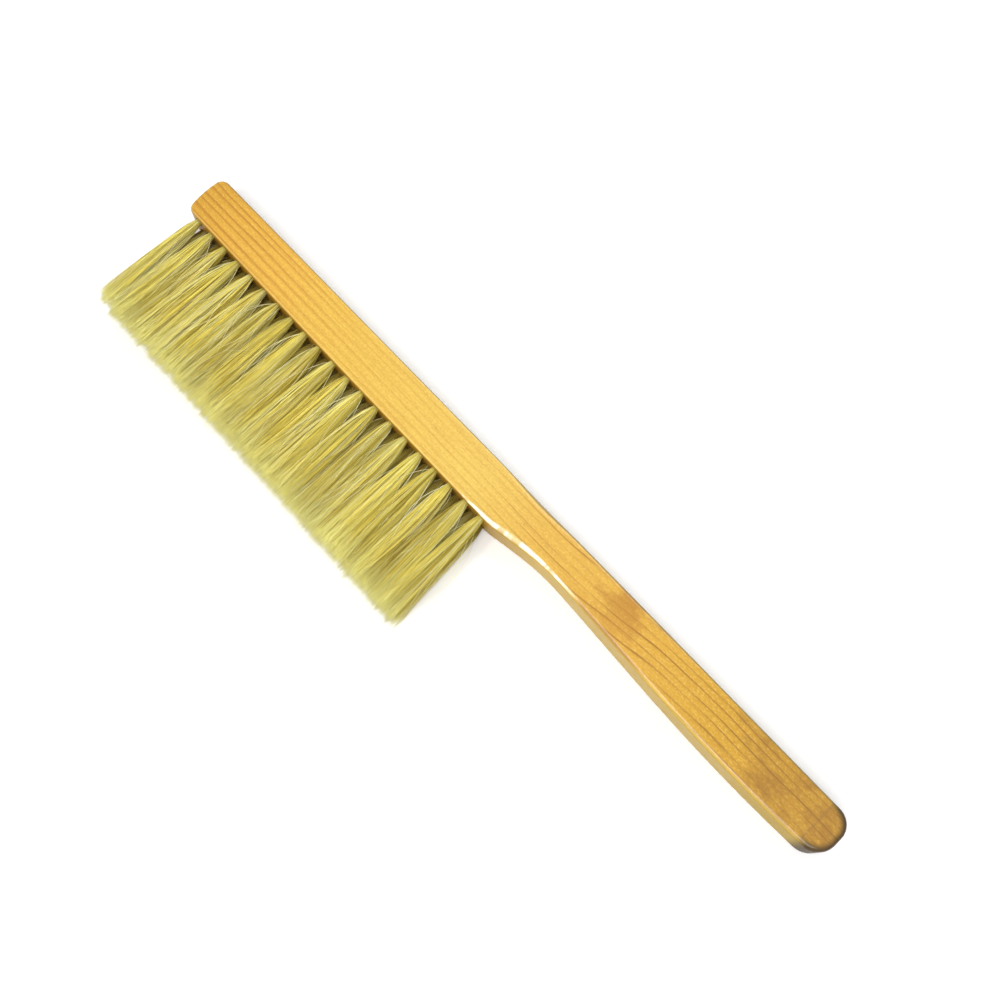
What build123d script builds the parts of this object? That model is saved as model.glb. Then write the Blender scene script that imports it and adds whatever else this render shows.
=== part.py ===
from build123d import *
import math
import os

# A bee brush: a one-piece wooden stock with three rows of bristle tufts along one edge of its head.
# Millimetres. The brush lies on a broad side. X runs from the head's free end to the handle's end,
# the bristles point to -Y, and Z rises from the broad face underneath.
# The origin is on that face, half way along the stock, on the centreline of the head.

# Stock
LENGTH = 400.0
THICKNESS = 16.0
HEAD_WIDTH = 23.4              # at the neck, where the head is widest
HEAD_END_WIDTH = 22.6
HEAD_END_BOW = 1.2
HEAD_END_SLANT = 2.2           # the end's front corner is this much further along than its back one
HEAD_CORNER_RADIUS = 4.5
HEAD_ARRIS_RADIUS = 1.3
HEAD_PARALLEL_X = -6.0         # from here to the shoulder the head's edges are parallel
ARRIS_SWELL_X = -3.0           # from here to the narrowest place the arrises are rubbed rounder
ARRIS_SWELL = 1.3
SHOULDER_X = 11.0              # the neck's cut starts here
NECK_X = 47.0                  # the narrowest place
NECK_WIDTH = 18.9
NECK_SECTIONS = 11
FLANK_START = (59.0, 19.2)     # x, width where the handle starts to swell evenly
FLANK_LENGTH = 50.0
HANDLE_END_WIDTH = 21.0        # between the edges' lines, before the corners are rounded
HANDLE_BACK_CORNER_RADIUS = 8.0
HANDLE_FRONT_CORNER_RADIUS = 9.5
HANDLE_ARRIS_RADIUS = 1.8

# Tufts
TUFTS_IN_OUTER_ROW = 21
TUFT_PITCH = 9.89
FIRST_TUFT_FROM_END = 9.7
ROW_PITCH = 4.5
HOLE_DIAMETER = 4.2
HOLE_DEPTH = 10.0
TUFT_DIAMETER = 4.1
BRISTLE_REACH = 59.0           # from the head's edge to the tips
FLARE_AT = 0.45                # the share of the reach where a tuft meets its neighbours
TIP_LEAN = 5.5                 # how far the tips lean towards the handle
TUFT_GAP = 0.3
END_SPREAD = 2.4               # how far a row's end tuft spreads where it has no neighbour
FLARED_HEIGHT = 4.6
TIP_HEIGHT = 6.4
FLARED_CORNER_RADIUS = 1.6
TIP_CORNER_RADIUS = 1.2

# Anchors: flat wire across the folded end of each tuft, its ends driven into the wood
ANCHOR_LENGTH = 4.9
ANCHOR_DEPTH = 2.0
ANCHOR_THICKNESS = 0.35
ANCHOR_ABOVE_FLOOR = 1.2
ANCHOR_TURN = 45.0             # to the grain, so that it doesn't split the wood
SLOT_CLEARANCE = 0.02

BACK_Y = HEAD_WIDTH / 2
FRONT_Y = -HEAD_WIDTH / 2
HEAD_END_X = -LENGTH / 2
HANDLE_END_X = LENGTH / 2
HOLE_FLOOR_Y = FRONT_Y + HOLE_DEPTH
STEM_FLOOR_Y = HOLE_FLOOR_Y - (HOLE_DIAMETER - TUFT_DIAMETER) / 2
ANCHOR_Y = HOLE_FLOOR_Y - ANCHOR_ABOVE_FLOOR - ANCHOR_DEPTH / 2

FIRST_TUFT_X = HEAD_END_X + FIRST_TUFT_FROM_END
OUTER_ROW_X = [FIRST_TUFT_X + TUFT_PITCH * step for step in range(TUFTS_IN_OUTER_ROW)]
MIDDLE_ROW_X = [x + TUFT_PITCH / 2 for x in OUTER_ROW_X[:-1]]

MIDDLE_Z = THICKNESS / 2
BOTTOM_Z = MIDDLE_Z - ROW_PITCH
TOP_Z = MIDDLE_Z + ROW_PITCH
# The tips of the bottom row lie just above the table, and push the other rows up.
BOTTOM_TIP_Z = TUFT_GAP + TIP_HEIGHT / 2
MIDDLE_TIP_Z = BOTTOM_TIP_Z + TIP_HEIGHT + TUFT_GAP
TOP_TIP_Z = MIDDLE_TIP_Z + TIP_HEIGHT + TUFT_GAP

os.makedirs("parts", exist_ok=True)


def save(part, name):
    """Names a finished piece and writes it."""
    part.label = name
    export_step(part, f"parts/{name}.step")


def front_edge_y(width):
    """The front edge of the stock where it is this wide: its back edge is straight."""
    return BACK_Y - width


def neck_width(x):
    """Width of the stock up to the narrowest place of the neck."""
    share = max(x - SHOULDER_X, 0) / (NECK_X - SHOULDER_X)
    return HEAD_WIDTH - (HEAD_WIDTH - NECK_WIDTH) * math.sin(math.pi / 2 * share**1.2)


def neck_arris_radius(share):
    """Arris radius on the way from the head (0) to the narrowest place (1)."""
    even = HEAD_ARRIS_RADIUS + (HANDLE_ARRIS_RADIUS - HEAD_ARRIS_RADIUS) * share
    return even + ARRIS_SWELL * math.sin(math.pi * share) ** 2


def round_arrises(part, radius, joined_x):
    """Rounds the broad faces' edges of one stretch of the stock, except where it is joined on."""
    broad_edges = part.edges().filter_by(
        lambda edge: abs(edge.center().Z - MIDDLE_Z) > MIDDLE_Z - 0.001
        and abs(edge.center().X - joined_x) > 0.001
    )
    fillet(broad_edges, radius)


# The head: parallel near the shoulder, a little narrower at its free end, which is slightly bowed.
with BuildPart() as head:
    with BuildSketch():
        with BuildLine():
            end_back = (HEAD_END_X + HEAD_END_BOW - HEAD_END_SLANT / 2, BACK_Y)
            end_front = (HEAD_END_X + HEAD_END_BOW + HEAD_END_SLANT / 2, front_edge_y(HEAD_END_WIDTH))
            end_middle = (HEAD_END_X, (end_back[1] + end_front[1]) / 2)
            ThreePointArc(end_back, end_middle, end_front)
            TangentArc((HEAD_PARALLEL_X, FRONT_Y), end_front, tangent=(-1, 0))
            Line((HEAD_PARALLEL_X, FRONT_Y), (ARRIS_SWELL_X, FRONT_Y))
            Line((ARRIS_SWELL_X, FRONT_Y), (ARRIS_SWELL_X, BACK_Y))
            Line((ARRIS_SWELL_X, BACK_Y), end_back)
        make_face()
        fillet(vertices().sort_by(Axis.X)[:2], HEAD_CORNER_RADIUS)
    extrude(amount=THICKNESS)
    round_arrises(head, HEAD_ARRIS_RADIUS, ARRIS_SWELL_X)

# The neck: sections that narrow from the front only, with softer arrises.
with BuildPart() as neck:
    for section in range(NECK_SECTIONS):
        share = section / (NECK_SECTIONS - 1)
        section_x = ARRIS_SWELL_X + (NECK_X - ARRIS_SWELL_X) * share
        section_width = neck_width(section_x)
        section_centre = (section_x, BACK_Y - section_width / 2, MIDDLE_Z)
        with BuildSketch(Plane(section_centre, x_dir=(0, 1, 0), z_dir=(1, 0, 0))):
            RectangleRounded(section_width, THICKNESS, neck_arris_radius(share))
    loft()

# The handle: it swells from the neck, then narrows to a rounded end.
with BuildPart() as handle:
    with BuildSketch():
        with BuildLine():
            neck_front = (NECK_X, front_edge_y(NECK_WIDTH))
            flank_start = (FLANK_START[0], front_edge_y(FLANK_START[1]))
            handle_front = (HANDLE_END_X, front_edge_y(HANDLE_END_WIDTH))
            swell = TangentArc(neck_front, flank_start, tangent=(1, 0))
            flank = Line(swell @ 1, swell @ 1 + swell % 1 * FLANK_LENGTH)
            TangentArc(flank @ 1, handle_front, tangent=flank % 1)
            Line(handle_front, (HANDLE_END_X, BACK_Y))
            Line((HANDLE_END_X, BACK_Y), (NECK_X, BACK_Y))
            Line((NECK_X, BACK_Y), neck_front)
        make_face()
        fillet(vertices().sort_by(Axis.X)[-2:].sort_by(Axis.Y)[1], HANDLE_BACK_CORNER_RADIUS)
        fillet(vertices().sort_by(Axis.X)[-2:].sort_by(Axis.Y)[0], HANDLE_FRONT_CORNER_RADIUS)
    extrude(amount=THICKNESS)
    round_arrises(handle, HANDLE_ARRIS_RADIUS, NECK_X)


def tuft_plane(x, y, z):
    """A plane across a tuft, facing the tips, with its own X along the stock."""
    return Plane((x, y, z), x_dir=(1, 0, 0), z_dir=(0, -1, 0))


def anchor_places(row_x, row_z):
    """Where the anchors of one row lie, turned to the grain."""
    return [Location((x, ANCHOR_Y, row_z), (0, ANCHOR_TURN, 0)) for x in row_x]


HOLE_PLACES = [(x, TOP_Z) for x in OUTER_ROW_X]
HOLE_PLACES += [(x, MIDDLE_Z) for x in MIDDLE_ROW_X]
HOLE_PLACES += [(x, BOTTOM_Z) for x in OUTER_ROW_X]
ROW_ANCHORS = {
    "top_anchors": anchor_places(OUTER_ROW_X, TOP_Z),
    "middle_anchors": anchor_places(MIDDLE_ROW_X, MIDDLE_Z),
    "bottom_anchors": anchor_places(OUTER_ROW_X, BOTTOM_Z),
}

# The stock: one piece of wood, with a blind hole for each tuft and a cut where each anchor bites.
with BuildPart() as stock:
    add(head.part)
    add(neck.part)
    add(handle.part)
    with Locations(*[tuft_plane(x, HOLE_FLOOR_Y, z) for x, z in HOLE_PLACES]):
        Cylinder(
            HOLE_DIAMETER / 2,
            HOLE_DEPTH * 2,
            align=(Align.CENTER, Align.CENTER, Align.MIN),
            mode=Mode.SUBTRACT,
        )
    for places in ROW_ANCHORS.values():
        with Locations(*places):
            Box(ANCHOR_LENGTH, ANCHOR_DEPTH, ANCHOR_THICKNESS, mode=Mode.SUBTRACT)
save(stock.part, "stock")

# The anchors of each row
for row_name, places in ROW_ANCHORS.items():
    with BuildPart() as anchors:
        with Locations(*places):
            Box(ANCHOR_LENGTH, ANCHOR_DEPTH, ANCHOR_THICKNESS)
    save(anchors.part, row_name)


def make_tufts(row_x, root_z, tip_z):
    """One tuft at each place along a row: a round stem in its hole, then a flare to the tips."""
    spread = (TUFT_PITCH - TUFT_GAP) / 2
    flare_y = FRONT_Y - BRISTLE_REACH * FLARE_AT
    flare_z = root_z + (tip_z - root_z) * FLARE_AT
    with BuildPart() as tufts:
        for root_x in row_x:
            towards_end = END_SPREAD if root_x == OUTER_ROW_X[0] else spread
            towards_neck = END_SPREAD if root_x == OUTER_ROW_X[-1] else spread
            width = towards_end + towards_neck
            middle_x = root_x + (towards_neck - towards_end) / 2
            with BuildSketch(tuft_plane(root_x, STEM_FLOOR_Y, root_z)):
                Circle(TUFT_DIAMETER / 2)
            extrude(amount=STEM_FLOOR_Y - FRONT_Y)
            with BuildSketch(tuft_plane(root_x, FRONT_Y, root_z)):
                Circle(TUFT_DIAMETER / 2)
            with BuildSketch(tuft_plane(middle_x + TIP_LEAN * FLARE_AT, flare_y, flare_z)):
                RectangleRounded(width, FLARED_HEIGHT, FLARED_CORNER_RADIUS)
            with BuildSketch(tuft_plane(middle_x + TIP_LEAN, FRONT_Y - BRISTLE_REACH, tip_z)):
                RectangleRounded(width, TIP_HEIGHT, TIP_CORNER_RADIUS)
            loft(ruled=True)
        with Locations(*anchor_places(row_x, root_z)):
            Box(
                HOLE_DIAMETER * 2,
                ANCHOR_DEPTH + SLOT_CLEARANCE,
                ANCHOR_THICKNESS + SLOT_CLEARANCE,
                mode=Mode.SUBTRACT,
            )
    return tufts.part


# The outer rows: each tuft is its own piece, numbered from the head's free end.
for row_name, row_z, tip_z in (("top", TOP_Z, TOP_TIP_Z), ("bottom", BOTTOM_Z, BOTTOM_TIP_Z)):
    for number, tuft_x in enumerate(OUTER_ROW_X, start=1):
        save(make_tufts([tuft_x], row_z, tip_z), f"{row_name}_tuft_{number:02d}")

# The middle row, half a pitch along from the others: two neighbours in each piece.
for first in range(0, len(MIDDLE_ROW_X), 2):
    tuft_pair = make_tufts(MIDDLE_ROW_X[first : first + 2], MIDDLE_Z, MIDDLE_TIP_Z)
    save(tuft_pair, f"middle_tufts_{first + 1:02d}_{first + 2:02d}")
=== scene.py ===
import math

import bpy
import numpy as np
from mathutils import Matrix, Vector


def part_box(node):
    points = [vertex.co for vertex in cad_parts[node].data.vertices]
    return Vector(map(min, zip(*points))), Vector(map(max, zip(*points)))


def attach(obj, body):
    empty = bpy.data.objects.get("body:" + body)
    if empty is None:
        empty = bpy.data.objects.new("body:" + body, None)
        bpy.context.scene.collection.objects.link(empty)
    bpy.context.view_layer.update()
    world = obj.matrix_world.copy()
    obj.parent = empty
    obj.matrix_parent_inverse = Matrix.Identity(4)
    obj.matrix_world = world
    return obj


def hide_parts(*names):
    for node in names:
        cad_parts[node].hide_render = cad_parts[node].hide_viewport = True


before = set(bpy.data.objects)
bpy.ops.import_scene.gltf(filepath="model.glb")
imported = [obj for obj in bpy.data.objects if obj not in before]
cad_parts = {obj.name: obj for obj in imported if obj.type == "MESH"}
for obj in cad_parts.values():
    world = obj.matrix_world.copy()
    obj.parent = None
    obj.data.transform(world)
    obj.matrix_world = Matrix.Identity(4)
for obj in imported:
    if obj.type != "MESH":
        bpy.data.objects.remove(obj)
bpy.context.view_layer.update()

# The looks of a wooden bee brush. Metres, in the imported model's own frame: X runs from the head's
# free end to the handle's end, the bristles point to -Y, and Z rises from the face underneath.

MM = 0.001
RNG = np.random.default_rng(41)

STOCK_LOW, STOCK_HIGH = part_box("stock")
STOCK_LENGTH = STOCK_HIGH.x - STOCK_LOW.x
HANDLE_CORNER = 9 * MM
HANDLE_END_HALF_WIDTH = 10.5 * MM
HANDLE_END_MIDDLE_Y = STOCK_HIGH.y - HANDLE_END_HALF_WIDTH
END_BAND = 4.0 * MM            # the painted shade at the handle's end starts this far in
END_BAND_DARKEST = 0.5 * MM
CROSS_LINE_X = 189 * MM
RING_SPACING = 3.7 * MM        # from one growth line to the next


# ---------------------------------------------------------------- node materials


class Shader:
    """One node material, built up by short calls. A value may be a number, a colour or a socket."""

    def __init__(self, name):
        self.material = bpy.data.materials.new(name)
        self.material.use_nodes = True
        self.tree = self.material.node_tree
        self.surface = self.tree.nodes["Principled BSDF"]

    def set(self, socket, value):
        if isinstance(value, bpy.types.NodeSocket):
            self.tree.links.new(value, socket)
        elif hasattr(value, "__len__") and len(value) == 3 and socket.type == "RGBA":
            socket.default_value = (*value, 1.0)
        else:
            socket.default_value = value

    def node(self, kind, **settings):
        made = self.tree.nodes.new("ShaderNode" + kind)
        for name, value in settings.items():
            setattr(made, name, value)
        return made

    def math(self, operation, a, b=0.0, c=0.0):
        made = self.node("Math", operation=operation)
        for socket, value in zip(made.inputs, (a, b, c)):
            self.set(socket, value)
        return made.outputs[0]

    def mix(self, share, a, b, blend="MIX"):
        """Colour a turning into b as share goes from 0 to 1."""
        made = self.node("Mix", data_type="RGBA", blend_type=blend)
        self.set(made.inputs["Factor"], share)
        self.set(made.inputs[6], a)
        self.set(made.inputs[7], b)
        return made.outputs[2]

    def step(self, value, start, end, low=0.0, high=1.0):
        """From low to high, smoothly, as value goes from start to end."""
        made = self.node("MapRange", interpolation_type="SMOOTHSTEP")
        for socket, number in zip(made.inputs, (value, start, end, low, high)):
            self.set(socket, number)
        return made.outputs[0]

    def ramp(self, value, stops):
        """A colour from a list of (place, colour)."""
        made = self.node("ValToRGB")
        elements = made.color_ramp.elements
        while len(elements) < len(stops):
            elements.new(0.5)
        for element, (place, colour) in zip(elements, stops):
            element.position = place
            element.color = (*colour, 1.0)
        self.set(made.inputs[0], value)
        return made.outputs[0]

    def stretched(self, position, x, y, z):
        """Position times a different number along each axis."""
        made = self.node("VectorMath", operation="MULTIPLY")
        self.set(made.inputs[0], position)
        made.inputs[1].default_value = (x, y, z)
        return made.outputs[0]

    def noise(self, position, detail=2.0, roughness=0.5):
        """Noise about 0.5, one lump to each unit of position."""
        made = self.node("TexNoise")
        self.set(made.inputs["Vector"], position)
        made.inputs["Scale"].default_value = 1.0
        made.inputs["Detail"].default_value = detail
        made.inputs["Roughness"].default_value = roughness
        return made.outputs[0]

    def position(self):
        return self.node("TexCoord").outputs["Object"]

    def parts(self, vector):
        made = self.node("SeparateXYZ")
        self.set(made.inputs[0], vector)
        return made.outputs

    def bump(self, height, depth, strength=1.0):
        made = self.node("Bump")
        made.inputs["Strength"].default_value = strength
        made.inputs["Distance"].default_value = depth
        self.set(made.inputs["Height"], height)
        self.set(self.surface.inputs["Normal"], made.outputs[0])

    def finish(self, **sockets):
        for name, value in sockets.items():
            self.set(self.surface.inputs[name.replace("_", " ")], value)
        return self.material


def wood_material():
    """Lacquered softwood: growth lines along the stock, fine fibre, pores, stains, a painted highlight
    on the front arris and painted shade on the sides and the handle's end.
    """
    s = Shader("lacquered_wood")
    position = s.position()
    x, y, z = s.parts(position)
    normal_x, normal_y, normal_z = s.parts(s.node("NewGeometry").outputs["Normal"])

    # Growth lines. They run along the stock, rise towards its back edge through the neck,
    # and are uneven in width, distance and strength.
    rise = s.step(x, 35 * MM, 140 * MM, 0.0, 8.0 * MM)
    sway = s.noise(s.stretched(position, 14, 60, 60), 2.0)
    sway = s.math("MULTIPLY", s.math("SUBTRACT", sway, 0.5), 3.2 * MM)
    across = s.math("SUBTRACT", s.math("MULTIPLY_ADD", z, 0.35, y), rise)
    across = s.math("ADD", across, sway)
    spacing = s.noise(s.stretched(position, 2, 180, 60), 0.0)
    across = s.math("MULTIPLY_ADD", s.math("SUBTRACT", spacing, 0.5), 3.0 * MM, across)
    ring = s.math("FRACT", s.math("MULTIPLY", across, 1 / RING_SPACING))
    late_wood = s.math("MULTIPLY", s.step(ring, 0.40, 0.90), s.step(ring, 1.0, 0.90))
    thin_line = s.math("MULTIPLY", s.step(ring, 0.74, 0.89), s.step(ring, 1.0, 0.92))
    fading = s.noise(s.stretched(position, 22, 150, 60), 2.0)
    head_end = s.step(x, -80 * MM, -190 * MM)
    from_neck = s.step(x, -15 * MM, 60 * MM)
    soft_lines = s.math("ADD", s.math("MULTIPLY", head_end, 0.42), 0.16)
    sharp_lines = s.math("MULTIPLY_ADD", from_neck, 0.58, 0.08)
    sharp_lines = s.math("MULTIPLY", sharp_lines, s.step(fading, 0.36, 0.60))
    soft_part = s.math("MULTIPLY", late_wood, soft_lines)
    lines = s.math("ADD", soft_part, s.math("MULTIPLY", thin_line, sharp_lines))

    # Colour along the stock, then fibre, pores and mottling.
    place = s.math("MULTIPLY_ADD", x, 1 / STOCK_LENGTH, 0.5)
    wood = s.ramp(place, [
        (0.00, (0.54, 0.290, 0.026)),
        (0.06, (0.64, 0.350, 0.040)),
        (0.15, (0.69, 0.400, 0.054)),
        (0.22, (0.68, 0.425, 0.062)),
        (0.40, (0.68, 0.455, 0.084)),
        (0.49, (0.69, 0.475, 0.096)),
        (0.58, (0.64, 0.390, 0.062)),
        (0.72, (0.60, 0.338, 0.040)),
        (0.84, (0.53, 0.295, 0.022)),
        (0.92, (0.48, 0.255, 0.018)),
        (1.00, (0.47, 0.255, 0.030)),
    ])
    grain = s.noise(s.stretched(position, 9, 620, 620), 3.0, 0.6)
    wood = s.mix(s.step(grain, 0.48, 0.70, 0.0, 0.34), wood, (0.48, 0.22, 0.024))
    fibre = s.noise(s.stretched(position, 45, 1500, 1500), 3.0, 0.6)
    wood = s.mix(s.step(fibre, 0.35, 0.75, 0.0, 0.30), wood, (0.45, 0.22, 0.030), "MIX")
    pores = s.noise(s.stretched(position, 380, 2600, 2600), 1.0)
    pores = s.step(pores, 0.66, 0.76)
    wood = s.mix(s.math("MULTIPLY", pores, 0.35), wood, (0.26, 0.12, 0.022))
    mottle = s.noise(s.stretched(position, 800, 1300, 1300), 2.0, 0.6)
    wood = s.mix(s.step(mottle, 0.45, 0.75, 0.0, 0.34), wood, (0.86, 0.60, 0.15))
    wood = s.mix(s.step(mottle, 0.50, 0.25, 0.0, 0.26), wood, (0.46, 0.22, 0.022))
    line_colour = s.ramp(place, [
        (0.0, (0.36, 0.125, 0.012)),
        (0.5, (0.33, 0.130, 0.014)),
        (1.0, (0.17, 0.075, 0.008)),
    ])
    wood = s.mix(lines, wood, line_colour)

    # Hand-darkened handle end, with smudges, and the orange stain at the handle's start.
    blotch = s.noise(s.stretched(position, 75, 130, 130), 4.0, 0.62)
    uneven_x = s.math("MULTIPLY_ADD", s.math("SUBTRACT", blotch, 0.5), 34 * MM, x)
    worn = s.step(s.math("MULTIPLY_ADD", y, 0.55, uneven_x), 146 * MM, 157 * MM)
    wood = s.mix(s.math("MULTIPLY", worn, 0.30), wood, (0.30, 0.150, 0.014))
    smudge = s.math("MULTIPLY", worn, s.step(blotch, 0.44, 0.62))
    wood = s.mix(s.math("MULTIPLY", smudge, 0.52), wood, (0.25, 0.110, 0.014))
    cross = s.math("ABSOLUTE", s.math("SUBTRACT", x, CROSS_LINE_X))
    cross = s.math("MULTIPLY", s.step(cross, 0.9 * MM, 0.2 * MM), 0.35)
    wood = s.mix(cross, wood, (0.23, 0.12, 0.03))
    stain_start = s.step(uneven_x, 66 * MM, 73 * MM)
    stain_x = s.math("MULTIPLY", stain_start, s.step(uneven_x, 92 * MM, 82 * MM))
    stain = s.math("MULTIPLY", stain_x, s.step(y, -6 * MM, 9 * MM, 0.45, 1.0))
    wood = s.mix(s.math("MULTIPLY", stain, 0.70), wood, (0.38, 0.160, 0.018))

    # The side that faces the bristles is duller, and tinted darker with painted shade at the head,
    # between the tufts.
    # A painted highlight lies on the front arris, faint all along and white and broken at the neck; past
    # the neck the arris is grimy.
    # Painted shade darkens the whole back side and the handle's end.
    front_side = s.step(s.math("MULTIPLY", normal_y, -1.0), 0.50, 0.85)
    # The front side's colour: painted shade at the head, where it lies between the tufts; a duller olive
    # tan along the neck and handle.
    side_shade_and_tint = s.ramp(place, [
        (0.50, (0.38, 0.190, 0.016)),
        (0.55, (0.42, 0.250, 0.018)),
        (0.60, (0.52, 0.345, 0.048)),
        (1.00, (0.42, 0.285, 0.036)),
    ])
    wood = s.mix(s.math("MULTIPLY", front_side, 0.90), wood, side_shade_and_tint)
    on_arris = s.math("MULTIPLY", s.step(normal_y, -0.08, -0.40), s.step(normal_y, -0.93, -0.70))
    on_arris = s.math("MULTIPLY", on_arris, s.step(normal_z, 0.1, 0.3))
    neck_highlight = s.math("MULTIPLY", s.step(x, -9 * MM, 3 * MM), s.step(x, 64 * MM, 46 * MM))
    patchy = s.step(s.noise(s.stretched(position, 210, 60, 60), 2.0), 0.36, 0.50, 0.25, 1.0)
    # Painted highlight: faint yellow along the whole front arris, white and broken into patches at the
    # neck.
    wood = s.mix(s.math("MULTIPLY", on_arris, 0.25), wood, (0.92, 0.68, 0.22))
    neck_highlight = s.math("MULTIPLY", s.math("MULTIPLY", neck_highlight, on_arris), patchy)
    wood = s.mix(neck_highlight, wood, (0.97, 0.92, 0.74))
    grimy = s.math("MULTIPLY", s.step(x, 58 * MM, 66 * MM), s.step(x, 108 * MM, 92 * MM))
    grimy = s.math("MULTIPLY", s.math("MULTIPLY", grimy, on_arris), 0.75)
    wood = s.mix(grimy, wood, (0.36, 0.170, 0.050))
    # Painted shade: the whole back side, turned away from the main lights, is darkened.
    back_shade = s.math("MULTIPLY", s.step(normal_y, 0.25, 0.7), 0.75)
    wood = s.mix(back_shade, wood, (0.17, 0.135, 0.045))
    # Painted shade on the handle's end, darkest at its edge, where the end rounds away, standing in for
    # a rounding wider than the model's.
    past_corner = s.math("MAXIMUM", s.math("SUBTRACT", x, STOCK_HIGH.x - HANDLE_CORNER), 0.0)
    off_middle = s.math("ABSOLUTE", s.math("SUBTRACT", y, HANDLE_END_MIDDLE_Y))
    off_corner = s.math("SUBTRACT", off_middle, HANDLE_END_HALF_WIDTH - HANDLE_CORNER)
    off_corner = s.math("MAXIMUM", off_corner, 0.0)
    squares = s.math("ADD", s.math("POWER", past_corner, 2.0), s.math("POWER", off_corner, 2.0))
    reach = s.math("SQRT", squares)
    near_edge = s.step(reach, HANDLE_CORNER - END_BAND, HANDLE_CORNER - END_BAND_DARKEST)
    end_shade = s.math("MULTIPLY", near_edge, s.step(x, 186 * MM, 193 * MM))
    wood = s.mix(s.math("MULTIPLY", end_shade, 0.95), wood, (0.050, 0.026, 0.006))
    head_cut = s.step(s.math("MULTIPLY", normal_x, -1.0), 0.5, 0.9)
    wood = s.mix(s.math("MULTIPLY", head_cut, 0.5), wood, (0.50, 0.25, 0.05))

    # The lacquer lies over a slightly open grain.
    relief = s.math("MULTIPLY_ADD", fibre, 0.5, s.math("MULTIPLY", lines, -0.5))
    ripple = s.noise(s.stretched(position, 120, 260, 260), 1.0)
    relief = s.math("MULTIPLY_ADD", ripple, 1.2, relief)
    s.bump(relief, 0.05 * MM, 0.5)
    dull = s.step(s.math("ADD", s.math("MULTIPLY", worn, 0.3), fibre), 0.3, 1.1, 0.34, 0.60)
    return s.finish(
        Base_Color=wood,
        Roughness=dull,
        Specular_IOR_Level=0.25,
        Coat_Weight=s.step(front_side, 0.0, 1.0, 0.60, 0.04),
        Coat_Roughness=0.13,
        Coat_IOR=1.48,
    )


def bristle_material():
    """Pale hog bristle. Each strand has its own tone, its place along itself, and its painted shade."""
    s = Shader("hog_bristle")
    strand = s.node("Attribute", attribute_name="strand").outputs["Vector"]
    tone, along, shade = s.parts(strand)
    colour = s.ramp(tone, [
        (0.00, (0.34, 0.220, 0.022)),
        (0.20, (0.74, 0.570, 0.074)),
        (0.50, (0.95, 0.800, 0.140)),
        (0.80, (0.97, 0.880, 0.230)),
        (1.00, (0.98, 0.950, 0.620)),
    ])
    # Paler towards the tips: partly the strands' own paler ends, partly painted light where the tips lie
    # bright near the floor.
    colour = s.mix(s.step(along, 0.70, 1.0, 0.0, 0.60), colour, (0.97, 0.96, 0.40))
    streaks = s.noise(s.stretched(s.position(), 900, 120, 900), 2.0, 0.6)
    colour = s.mix(s.step(streaks, 0.35, 0.7, 0.0, 0.16), colour, (0.95, 0.88, 0.34))
    # Painted shade: the strands darken near their roots, where the wood and the other rows shade them,
    # and at each tuft's sides, where the tufts shade each other; some locks are darker at random.
    colour = s.mix(shade, colour, (0.16, 0.092, 0.004))
    s.bump(streaks, 0.02 * MM, 0.4)
    return s.finish(
        Base_Color=colour,
        Roughness=s.step(streaks, 0.3, 0.7, 0.45, 0.62),
        Specular_IOR_Level=0.22,
    )


def wire_material():
    """Flat galvanised wire, drawn along its length and a little dull."""
    s = Shader("anchor_steel")
    position = s.position()
    drawn = s.noise(s.stretched(position, 900, 9000, 9000), 2.0, 0.6)
    dull = s.noise(s.stretched(position, 2200, 2200, 2200), 3.0)
    colour = s.mix(drawn, (0.42, 0.42, 0.41), (0.66, 0.66, 0.64))
    s.bump(drawn, 0.01 * MM, 0.5)
    dull = s.step(dull, 0.3, 0.7, 0.28, 0.52)
    return s.finish(Base_Color=colour, Metallic=1.0, Roughness=dull)


def floor_material():
    s = Shader("pale_floor")
    fleck = s.noise(s.stretched(s.position(), 40, 40, 40), 2.0)
    colour = s.mix(fleck, (0.89, 0.89, 0.89), (0.92, 0.92, 0.92))
    return s.finish(Base_Color=colour, Roughness=0.7)


# ---------------------------------------------------------------- bristle tufts

STRANDS_IN_TUFT = {"top": 380, "middle": 190, "bottom": 240}
# Painted shade on the strands: near the roots (amount, share of the length it reaches) and at each
# tuft's sides.
ROOT_SHADE = {"top": (0.40, 0.10), "middle": (0.90, 0.42), "bottom": (0.90, 0.42)}
SEAM_SHADE, SEAM_REACH = 0.45, 0.60
LOCK_SHADE = 0.38
LOCKS_IN_TUFT = 32
TIP_SCATTER = {"top": 0.030, "middle": 0.025, "bottom": 0.015}
STRAYS_IN_TUFT = 7
ROWS_LENGTH = 220 * MM         # from the head's end to just past the last tuft
END_TUFT_WITHIN = 13 * MM
SIDES = 3
RINGS = np.array([-0.035, 0.0, 0.09, 0.2, 0.34, 0.52, 0.72, 0.92])
TIP_AT = 1.0
FLARED_AT = 0.46               # the share of the length where a tuft meets its neighbours
STRAND_RADIUS = 0.115 * MM
TIP_RADIUS_SHARE = 0.6
GOLDEN_ANGLE = math.pi * (3 - math.sqrt(5))


class Tuft:
    """Where one tuft leaves the wood and what space its tips fill, read from its CAD solid."""

    def __init__(self, stem, tips):
        self.root = (stem.min(0) + stem.max(0)) / 2
        self.root_radius = (stem[:, 2].max() - stem[:, 2].min()) / 2
        self.face_y = stem[:, 1].min()
        self.tip = (tips.min(0) + tips.max(0)) / 2
        self.tip_half = (tips.max(0) - tips.min(0)) / 2
        self.reach = self.face_y - tips[:, 1].min()


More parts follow.
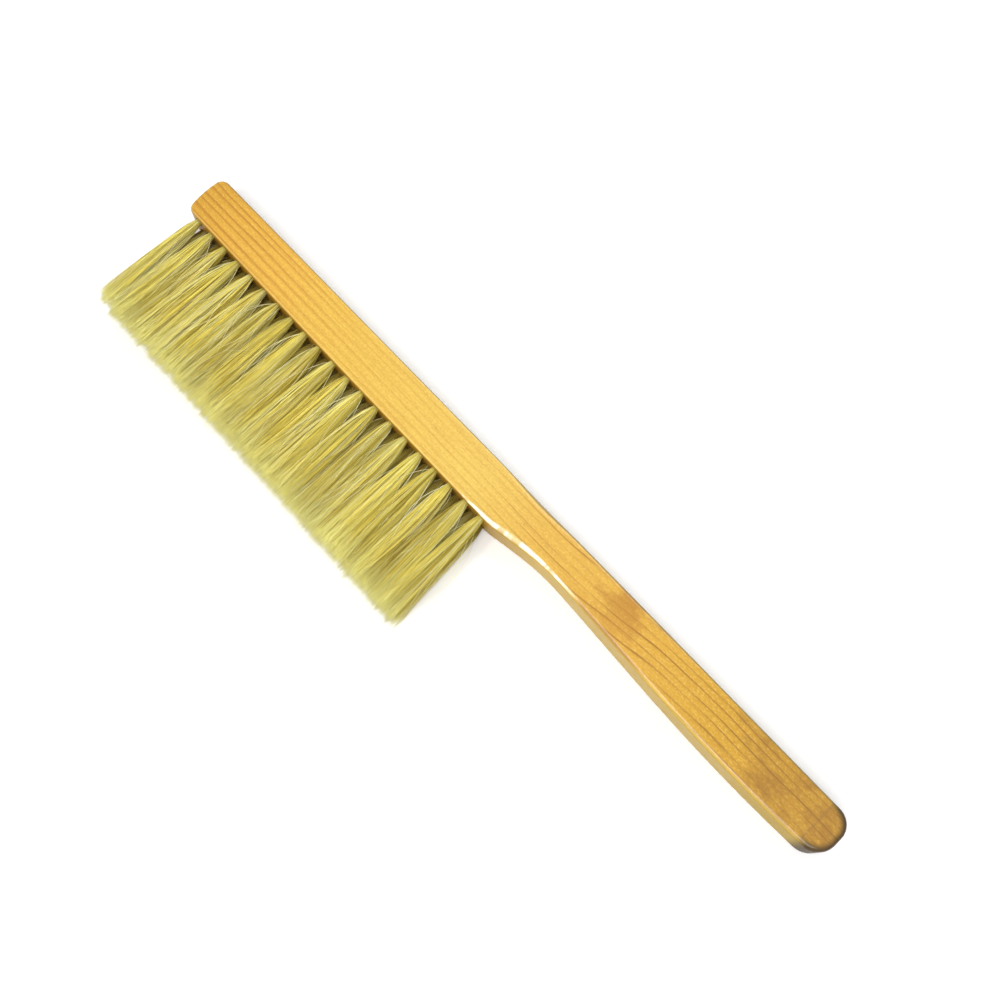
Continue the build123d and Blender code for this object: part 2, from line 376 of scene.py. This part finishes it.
def tufts_in(node, count):
    """The tufts in one CAD node, side by side along X."""
    co = np.array([v.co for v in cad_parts[node].data.vertices], float)
    near = 0.2 * MM
    tips = co[co[:, 1] < co[:, 1].min() + near]
    stems = co[co[:, 1] > STOCK_LOW.y - near]
    found = []
    for index in range(count):
        low_share, high_share = index / count, (index + 1) / count
        sides = []
        for points in (stems, tips):
            low, high = points[:, 0].min(), points[:, 0].max()
            inside = (points[:, 0] >= low + (high - low) * low_share - near) & (
                points[:, 0] <= low + (high - low) * high_share + near
            )
            sides.append(points[inside])
        found.append(Tuft(*sides))
    return found


def unit_disc(count):
    """Evenly spread points in a unit circle, a little jittered."""
    index = np.arange(count)
    radius = np.sqrt((index + 0.5) / count)
    angle = index * GOLDEN_ANGLE + RNG.uniform(0, 2 * math.pi)
    points = np.stack([radius * np.cos(angle), radius * np.sin(angle)], 1)
    return points + RNG.normal(0, 0.25 / math.sqrt(count), points.shape)


def squared(points):
    """Moves points of a unit circle out to fill a square."""
    length = np.linalg.norm(points, axis=1, keepdims=True)
    widest = np.abs(points).max(1, keepdims=True)
    return points * length / np.maximum(widest, 1e-9)


def outward(tuft):
    """Which way along X a tuft at an end of its row has no neighbour: -1, 1, or 0 for the others."""
    from_head_end = tuft.root[0] - STOCK_LOW.x
    to_shoulder = STOCK_LOW.x + ROWS_LENGTH - tuft.root[0]
    return float(to_shoulder < END_TUFT_WITHIN) - float(from_head_end < END_TUFT_WITHIN)


def strand_lines(tuft, row):
    """Centrelines of one tuft's strands, and each strand's tone and painted shade along it."""
    count = STRANDS_IN_TUFT[row]
    disc = unit_disc(count)
    square = squared(disc)
    lock_places = squared(unit_disc(LOCKS_IN_TUFT)) * 0.92
    lock = np.linalg.norm(square[:, None] - lock_places[None], axis=2).argmin(1)
    gather = RNG.uniform(0.15, 0.60, LOCKS_IN_TUFT)[lock]
    lean = RNG.normal(0, 0.70 * MM, (LOCKS_IN_TUFT, 2)) * (1.0, 0.6)
    lean = lean[lock]
    bow = RNG.normal(0, 0.45 * MM, (LOCKS_IN_TUFT, 2))[lock]
    own_lean = RNG.normal(0, 0.75 * MM, (count, 2)) * (1.0, 0.5)
    own_bow = RNG.normal(0, 0.30 * MM, (count, 2)) * (1.0, 0.6)
    tuft_lean = RNG.normal(0, 0.45 * MM, 2)
    tuft_bow = RNG.normal(0, 0.50 * MM, 2) * (1.0, 0.5)
    stray = np.zeros(count, bool)
    stray[RNG.choice(count, STRAYS_IN_TUFT, replace=False)] = True
    own_lean[stray] = RNG.normal(0, 4.5 * MM, (STRAYS_IN_TUFT, 2)) * (1.0, 0.15)
    own_bow[stray] = RNG.normal(0, 2.6 * MM, (STRAYS_IN_TUFT, 2)) * (1.0, 0.15)
    square[stray, 1] = 0.95

    length = 1 - 0.012 * square[:, 0] ** 2 + RNG.normal(0, 0.014, LOCKS_IN_TUFT)[lock]
    length += RNG.normal(0, 0.008, count) - np.abs(RNG.normal(0, TIP_SCATTER[row], count))
    length[stray] -= RNG.uniform(0.0, 0.5, STRAYS_IN_TUFT)

    along = np.append(RINGS, TIP_AT)
    t = np.maximum(along, 0)[None, :, None]
    flared_at = FLARED_AT * np.where(square[:, :1] > 0, *RNG.uniform(0.65, 1.40, 2))
    flare = 1 - (1 - np.minimum(t[..., 0] / flared_at, 1)) ** 1.25
    flare = np.where(outward(tuft) * square[:, :1] > 0, t[..., 0] ** 0.85, flare)
    spread = np.stack([flare, np.broadcast_to(t[..., 0] ** 0.9, flare.shape)], 2)
    root = np.array([tuft.root[0], tuft.root[2]])
    tip = np.array([tuft.tip[0], tuft.tip[2]])
    half = np.array([tuft.tip_half[0], tuft.tip_half[2]])
    at_root = disc[:, None] * tuft.root_radius * (0.85 + 0.35 * np.minimum(t / 0.05, 1))
    gathered = square + (lock_places[lock] - square) * gather[:, None]
    target = square[:, None] + (gathered - square)[:, None] * np.sin(math.pi * 0.85 * t) ** 1.2
    at_tip = target * half
    line = root + (tip - root) * t + at_root * (1 - spread) + at_tip * spread
    line = line + (lean + own_lean + tuft_lean)[:, None] * t**1.5
    line = line + (bow + own_bow + tuft_bow)[:, None] * np.sin(math.pi * t)
    y = tuft.face_y - tuft.reach * along[None] * np.where(along[None] > 0, length[:, None], 1)
    centres = np.stack([line[..., 0], np.broadcast_to(y, line.shape[:2]), line[..., 1]], 2)
    centres[..., 2] = np.maximum(centres[..., 2], STRAND_RADIUS * 1.2)

    lock_tone = RNG.normal(0, 0.14, LOCKS_IN_TUFT)[lock]
    tone = np.clip(RNG.normal(0.56, 0.24, count) + lock_tone, 0.0, 0.9)
    tone[stray] = RNG.uniform(0.9, 1.0, STRAYS_IN_TUFT)
    # Some locks are darker at random; on top comes painted shade near the roots and at the tuft's sides.
    lock_shade = LOCK_SHADE * np.clip(RNG.normal(0.3, 0.4, LOCKS_IN_TUFT), 0, 1)[lock]
    seam = np.clip((np.abs(square[:, 0]) - 0.68) / 0.3, 0, 1)
    root_shade, root_reach = ROOT_SHADE[row]
    near_root = root_shade * np.clip(1 - t[0, :, 0] / root_reach, 0, 1)
    at_seam = SEAM_SHADE * seam[:, None] * np.clip(1 - t[0, :, 0] / SEAM_REACH, 0, 1)
    shade = np.maximum(near_root, lock_shade[:, None] + at_seam)
    shade[stray] = near_root * 0.5
    return centres, tone, shade


def strand_tubes(centres):
    """Closed tapering tubes along centrelines: points, then faces of four and of three corners."""
    count, stations = centres.shape[:2]
    rings = stations - 1
    turn = RNG.uniform(0, 2 * math.pi, count)
    angles = turn[:, None] + np.arange(SIDES) * 2 * math.pi / SIDES
    around = np.stack([np.cos(angles), np.zeros_like(angles), np.sin(angles)], 2)
    taper = 1 - (1 - TIP_RADIUS_SHARE) * np.clip(RINGS, 0, 1) ** 1.5
    thickness = STRAND_RADIUS * RNG.uniform(0.8, 1.15, count)
    offset = around[:, None] * (taper[None, :, None, None] * thickness[:, None, None, None])
    tube = (centres[:, :rings, None] + offset).reshape(count, rings * SIDES, 3)
    points = np.concatenate([tube, centres[:, rings:]], 1)

    side = np.arange(SIDES)
    after = (side + 1) % SIDES
    ring = np.arange(rings - 1)[:, None] * SIDES
    quads = np.stack([ring + side, ring + after, ring + SIDES + after, ring + SIDES + side], 2)
    quads = quads.reshape(-1, 4)
    last = (rings - 1) * SIDES
    caps = np.stack([last + side, last + after, np.full(SIDES, rings * SIDES)], 1)
    caps = np.concatenate([caps, [side[::-1]]])
    return points, quads, caps


def strand_atlas(count, quads, caps):
    """Texture places of every face corner: each strand has its own cell of the map."""
    rings = len(RINGS)
    columns = math.ceil(math.sqrt(count))
    cell = np.stack([np.arange(count) % columns, np.arange(count) // columns], 1) / columns
    inset, inner = 0.12 / columns, 0.76 / columns
    quad_side = np.tile(np.arange(SIDES), rings - 1)
    quad_ring = np.repeat(np.arange(rings - 1), SIDES)
    corner_u = (quad_side[:, None] + (0, 1, 1, 0)) / SIDES
    corner_v = (quad_ring[:, None] + (0, 0, 1, 1)) / rings
    quad_uv = np.stack([corner_u, corner_v], 2)
    side = np.arange(SIDES)[:, None]
    cap_u = np.concatenate([(side + (0, 1, 0.5)) / SIDES, [[0.0, 0.1, 0.05]]])
    last = (rings - 1) / rings
    cap_v = np.concatenate([np.tile([last, last, 1.0], (SIDES, 1)), [[0.0, 0.0, 0.04]]])
    cap_uv = np.stack([cap_u, cap_v], 2)
    own = np.concatenate([quad_uv.reshape(-1, 2), cap_uv.reshape(-1, 2)])
    return cell[:, None] + inset + own[None] * inner


def tuft_piece(name, tufts, row, material):
    """One mesh of all the strands of these tufts."""
    lines, tones, shades = zip(*[strand_lines(tuft, row) for tuft in tufts])
    centres = np.concatenate(lines)
    points, quads, caps = strand_tubes(centres)
    strands, per_strand = points.shape[:2]
    first = (np.arange(strands) * per_strand)[:, None]
    loops = np.concatenate([first + quads.reshape(1, -1), first + caps.reshape(1, -1)], 1).reshape(-1)
    sizes = np.tile([4] * len(quads) + [3] * len(caps), strands)

    mesh = bpy.data.meshes.new(name)
    mesh.vertices.add(strands * per_strand)
    mesh.vertices.foreach_set("co", points.reshape(-1).astype(np.float32))
    mesh.loops.add(len(loops))
    mesh.loops.foreach_set("vertex_index", loops.astype(np.int32))
    mesh.polygons.add(len(sizes))
    starts = np.concatenate([[0], np.cumsum(sizes)[:-1]])
    mesh.polygons.foreach_set("loop_start", starts.astype(np.int32))
    mesh.polygons.foreach_set("use_smooth", np.ones(len(sizes), bool))
    mesh.update(calc_edges=True)
    mesh.validate()

    corners = np.append(np.full(len(RINGS), SIDES), 1)
    along = np.repeat(np.append(np.clip(RINGS, 0, 1), TIP_AT), corners)
    facts = np.stack([
        np.repeat(np.concatenate(tones), per_strand),
        np.tile(along, strands),
        np.repeat(np.concatenate(shades), corners, axis=1).reshape(-1),
    ], 1)
    attribute = mesh.attributes.new("strand", "FLOAT_VECTOR", "POINT")
    attribute.data.foreach_set("vector", facts.reshape(-1).astype(np.float32))
    atlas = mesh.uv_layers.new(name="OFBake")
    atlas.data.foreach_set("uv", strand_atlas(strands, quads, caps).reshape(-1).astype(np.float32))

    mesh.materials.append(material)
    piece = bpy.data.objects.new(name, mesh)
    bpy.context.scene.collection.objects.link(piece)
    return piece


def make_bristles(material):
    """Replaces every tuft's plain solid by its strands."""
    for node in sorted(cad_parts):
        row = node.split("_")[0]
        if "tuft" not in node:
            continue
        tufts = tufts_in(node, 2 if row == "middle" else 1)
        piece = tuft_piece(f"{node}_strands", tufts, row, material)
        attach(piece, "root")
        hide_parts(node)


# ---------------------------------------------------------------- wood and wire


def dress_node(node, material):
    """Gives a CAD node its finished material."""
    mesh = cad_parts[node].data
    mesh.materials.clear()
    mesh.materials.append(material)


# ---------------------------------------------------------------- floor, light and camera

CAMERA_AZIMUTH = 45.0
CAMERA_ELEVATION = 70.86
CAMERA_ROLL = 2.57
CAMERA_DISTANCE = 0.471
CAMERA_LENS = 39.6
AIM_SHARE = 0.5198             # along the stock from the head's end
AIM_Y = -0.75 * MM
FLOOR_HALF_SIZE = 12.0


def point_at(thing, place, target):
    """Puts a light or camera at a place, looking at a target."""
    thing.location = place
    thing.rotation_euler = (Vector(target) - Vector(place)).to_track_quat("-Z", "Y").to_euler()


def add_floor():
    mesh = bpy.data.meshes.new("floor")
    half = FLOOR_HALF_SIZE
    corners = [(-half, -half, 0), (half, -half, 0), (half, half, 0), (-half, half, 0)]
    mesh.from_pydata(corners, [], [(0, 1, 2, 3)])
    mesh.materials.append(floor_material())
    floor = bpy.data.objects.new("floor", mesh)
    floor.location.z = STOCK_LOW.z - 0.05 * MM
    bpy.context.scene.collection.objects.link(floor)


def add_softbox(name, place, target, width, power):
    data = bpy.data.lights.new(name, "AREA")
    data.shape = "DISK"
    data.size = width
    data.energy = power
    light = bpy.data.objects.new(name, data)
    bpy.context.scene.collection.objects.link(light)
    point_at(light, place, target)


def add_lights():
    middle = (0.0, -0.02, STOCK_HIGH.z)
    add_softbox("main", (0.30, -0.40, 1.25), middle, 1.0, 13.0)
    add_softbox("fill", (-0.30, 0.90, 1.00), middle, 0.9, 7.0)
    add_softbox("key", (-0.14, -0.60, 0.58), middle, 0.10, 1.7)
    world = bpy.data.worlds.new("studio")
    world.use_nodes = True
    world.node_tree.nodes["Background"].inputs[0].default_value = (1.0, 1.0, 1.0, 1.0)
    world.node_tree.nodes["Background"].inputs[1].default_value = 0.45
    bpy.context.scene.world = world


def add_camera():
    angles = (CAMERA_AZIMUTH, CAMERA_ELEVATION, CAMERA_ROLL)
    azimuth, elevation, roll = (math.radians(angle) for angle in angles)
    back = Vector((
        math.sin(azimuth) * math.cos(elevation),
        -math.cos(azimuth) * math.cos(elevation),
        math.sin(elevation),
    ))
    level = Vector((math.cos(azimuth), math.sin(azimuth), 0))
    upright = back.cross(level)
    right = level * math.cos(roll) + upright * math.sin(roll)
    up = upright * math.cos(roll) - level * math.sin(roll)
    aim = Vector((STOCK_LOW.x + STOCK_LENGTH * AIM_SHARE, AIM_Y, STOCK_HIGH.z))
    data = bpy.data.cameras.new("camera")
    data.lens = CAMERA_LENS
    data.clip_start = 0.01
    camera = bpy.data.objects.new("camera", data)
    turn = Matrix((right, up, back)).transposed().to_4x4()
    camera.matrix_world = Matrix.Translation(aim + back * CAMERA_DISTANCE) @ turn
    bpy.context.scene.collection.objects.link(camera)
    bpy.context.scene.camera = camera


bpy.context.scene.view_settings.view_transform = "Standard"
add_camera()
add_floor()
add_lights()
dress_node("stock", wood_material())
wire = wire_material()
for anchor_node in ("top_anchors", "middle_anchors", "bottom_anchors"):
    dress_node(anchor_node, wire)
make_bristles(bristle_material())
